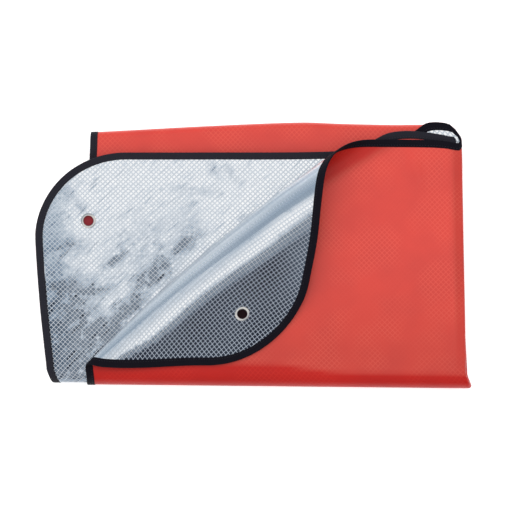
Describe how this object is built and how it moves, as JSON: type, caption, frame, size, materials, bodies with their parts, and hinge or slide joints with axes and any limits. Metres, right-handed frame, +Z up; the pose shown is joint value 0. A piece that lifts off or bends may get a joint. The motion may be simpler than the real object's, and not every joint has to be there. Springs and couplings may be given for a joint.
{
  "type": "emergency foil blanket",
  "caption": "Folded emergency blanket of laminated sheet, red on one side and scrim-backed silver on the other, with taped edges, corner eyelets and a corner turned back.",
  "frame": {"origin": "middle of the underside of the bounding box", "axes": "+X along the longer side of the folded blanket, +Y from its front fold towards the open hem, +Z up"},
  "size_m": [0.6104, 0.3734, 0.0922],
  "materials": {
    "laminate": "film laminate, satin red on one side and metallised over a scrim on the other",
    "tape": "woven polyester binding, matt black",
    "eyelet": "bright rolled metal"
  },
  "bodies": {
    "root": {"cloth": "laminate", "edge_tape": "tape", "eyelet_flap": "eyelet", "eyelet_under": "eyelet", "eyelet_hidden_a": "eyelet", "eyelet_hidden_b": "eyelet"}
  },
  "joints": []
}
